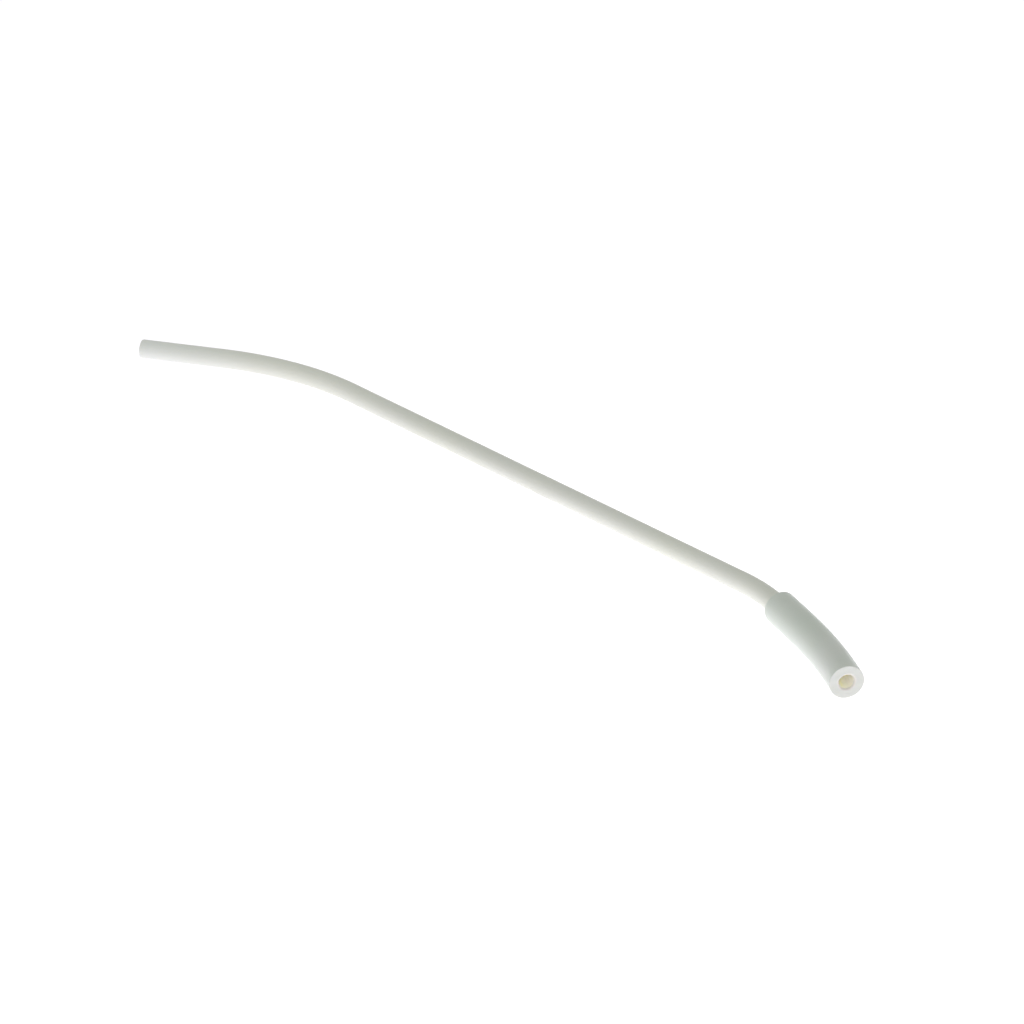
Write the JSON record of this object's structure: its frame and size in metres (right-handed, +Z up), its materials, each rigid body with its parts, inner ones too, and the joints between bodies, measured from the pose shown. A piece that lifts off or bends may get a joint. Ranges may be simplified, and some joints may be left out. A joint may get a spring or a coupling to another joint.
{
  "type": "saliva ejector tip",
  "caption": "Slim bent suction tube with an open rounded mouth and a short soft connector sleeve pushed on its rear end.",
  "frame": {"origin": "on the surface the part lies on, under the middle of its bounding box", "axes": "+X along the tube's straight middle run, towards the connector sleeve; +Z up from the surface; both ends curve towards -Y"},
  "size_m": [0.201, 0.0222, 0.0069],
  "materials": {
    "tube_plastic": "semi-matte moulded plastic, warm ivory grey",
    "sleeve_silicone": "milky translucent silicone, satin, cool greenish grey, yellower inside the bore"
  },
  "bodies": {
    "tube": {"suction_tube": "tube_plastic"},
    "sleeve": {"connector_sleeve": "sleeve_silicone"}
  },
  "joints": [
    {"name": "sleeve_pull_off", "type": "slide", "parent": "tube", "child": "sleeve", "axis": [0.9483, -0.3172, 0.0126], "range_m": [0, 0.02]}
  ]
}
